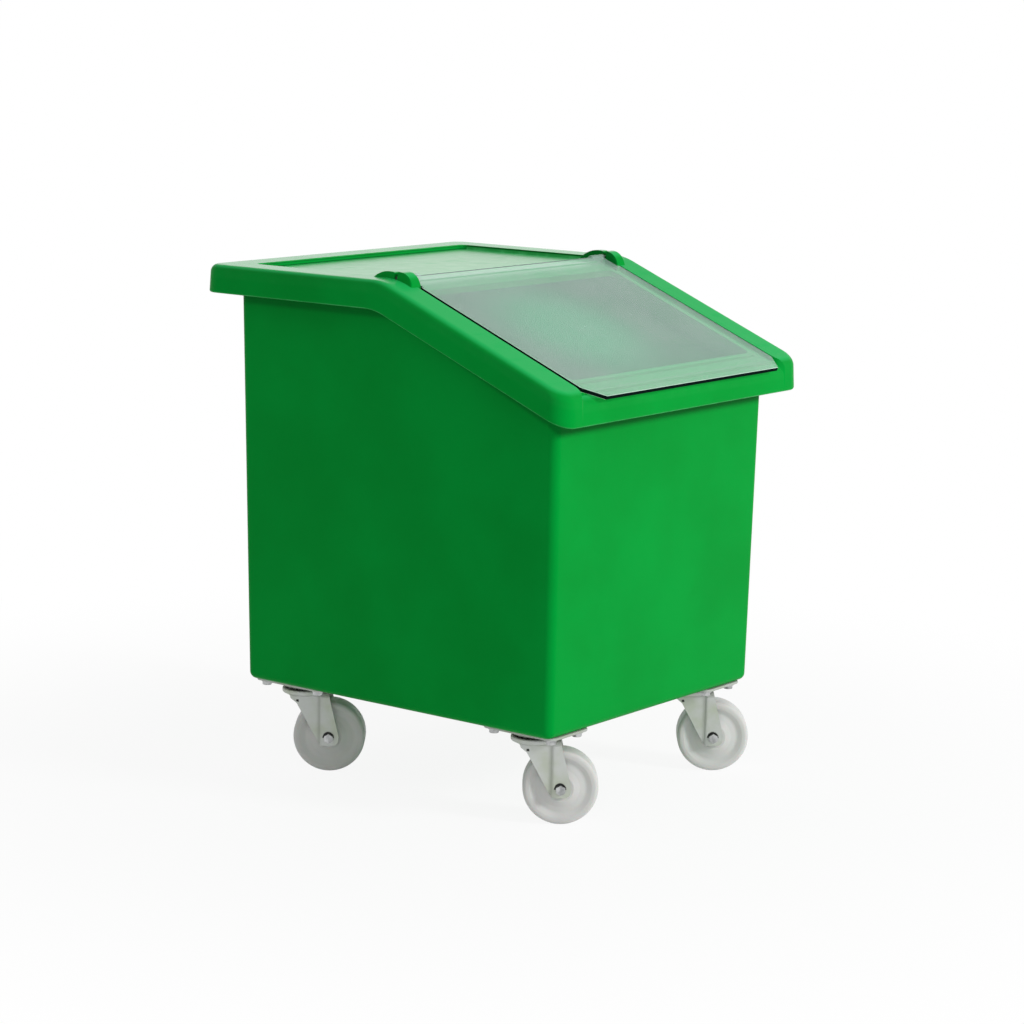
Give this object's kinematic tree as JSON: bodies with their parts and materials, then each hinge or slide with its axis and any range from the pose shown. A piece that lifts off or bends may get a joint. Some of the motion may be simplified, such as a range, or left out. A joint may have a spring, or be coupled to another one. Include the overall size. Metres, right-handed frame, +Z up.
{
  "type": "rolling flour bin",
  "caption": "Tapered plastic ingredient bin on swivel casters, with a lift-off hood whose sloped front has a clear hinged flap over a scooping window.",
  "frame": {"origin": "on the floor below the middle of the tub", "axes": "+Z up, +X to the right seen from the front, -Y to the sloped front"},
  "size_m": [0.4438, 0.5015, 0.5723],
  "materials": {
    "green_moulding": "satin moulded polyethylene",
    "clear_sheet": "clear polycarbonate sheet",
    "zinc": "zinc-plated pressed steel",
    "steel": "plain bright steel",
    "nylon": "white moulded nylon"
  },
  "bodies": {
    "tub_body": {"tub": "green_moulding", "caster_bolts": "steel", "caster_washers": "steel", "caster_inserts": "steel", "front_left_plate": "zinc", "front_left_king_pin": "steel", "front_right_plate": "zinc", "front_right_king_pin": "steel", "rear_left_plate": "zinc", "rear_left_king_pin": "steel", "rear_right_plate": "zinc", "rear_right_king_pin": "steel"},
    "hood_body": {"hood": "green_moulding"},
    "flap_body": {"flap": "clear_sheet", "left_hinge_pin": "steel", "right_hinge_pin": "steel"},
    "front_left_fork_body": {"front_left_fork": "zinc", "front_left_race_cup": "zinc", "front_left_balls": "steel", "front_left_axle_sleeve": "steel", "front_left_axle_bolt": "steel", "front_left_axle_nut": "steel"},
    "front_left_wheel_body": {"front_left_wheel": "nylon"},
    "front_right_fork_body": {"front_right_fork": "zinc", "front_right_race_cup": "zinc", "front_right_balls": "steel", "front_right_axle_sleeve": "steel", "front_right_axle_bolt": "steel", "front_right_axle_nut": "steel"},
    "front_right_wheel_body": {"front_right_wheel": "nylon"},
    "rear_left_fork_body": {"rear_left_fork": "zinc", "rear_left_race_cup": "zinc", "rear_left_balls": "steel", "rear_left_axle_sleeve": "steel", "rear_left_axle_bolt": "steel", "rear_left_axle_nut": "steel"},
    "rear_left_wheel_body": {"rear_left_wheel": "nylon"},
    "rear_right_fork_body": {"rear_right_fork": "zinc", "rear_right_race_cup": "zinc", "rear_right_balls": "steel", "rear_right_axle_sleeve": "steel", "rear_right_axle_bolt": "steel", "rear_right_axle_nut": "steel"},
    "rear_right_wheel_body": {"rear_right_wheel": "nylon"}
  },
  "joints": [
    {"name": "hood_lift", "type": "slide", "parent": "tub_body", "child": "hood_body", "axis": [0, 0, 1], "range_m": [0, 0.3]},
    {"name": "flap_hinge", "type": "hinge", "parent": "hood_body", "child": "flap_body", "pos_m": [0, -0.00248, 0.5651], "axis": [-1, 0, 0], "range_deg": [0, 200]},
    {"name": "front_left_swivel", "type": "hinge", "parent": "tub_body", "child": "front_left_fork_body", "pos_m": [-0.1433, -0.1611, 0.09], "axis": [0, 0, 1], "continuous": true},
    {"name": "front_left_roll", "type": "hinge", "parent": "front_left_fork_body", "child": "front_left_wheel_body", "pos_m": [-0.12668, -0.18276, 0.04], "axis": [0.7934, 0.6088, 0], "continuous": true},
    {"name": "front_right_swivel", "type": "hinge", "parent": "tub_body", "child": "front_right_fork_body", "pos_m": [0.1433, -0.1611, 0.09], "axis": [0, 0, 1], "continuous": true},
    {"name": "front_right_roll", "type": "hinge", "parent": "front_right_fork_body", "child": "front_right_wheel_body", "pos_m": [0.15992, -0.18276, 0.04], "axis": [0.7934, 0.6088, 0], "continuous": true},
    {"name": "rear_left_swivel", "type": "hinge", "parent": "tub_body", "child": "rear_left_fork_body", "pos_m": [-0.1433, 0.1611, 0.09], "axis": [0, 0, 1], "continuous": true},
    {"name": "rear_left_roll", "type": "hinge", "parent": "rear_left_fork_body", "child": "rear_left_wheel_body", "pos_m": [-0.12668, 0.13944, 0.04], "axis": [0.7934, 0.6088, 0], "continuous": true},
    {"name": "rear_right_swivel", "type": "hinge", "parent": "tub_body", "child": "rear_right_fork_body", "pos_m": [0.1433, 0.1611, 0.09], "axis": [0, 0, 1], "continuous": true},
    {"name": "rear_right_roll", "type": "hinge", "parent": "rear_right_fork_body", "child": "rear_right_wheel_body", "pos_m": [0.15992, 0.13944, 0.04], "axis": [0.7934, 0.6088, 0], "continuous": true}
  ]
}
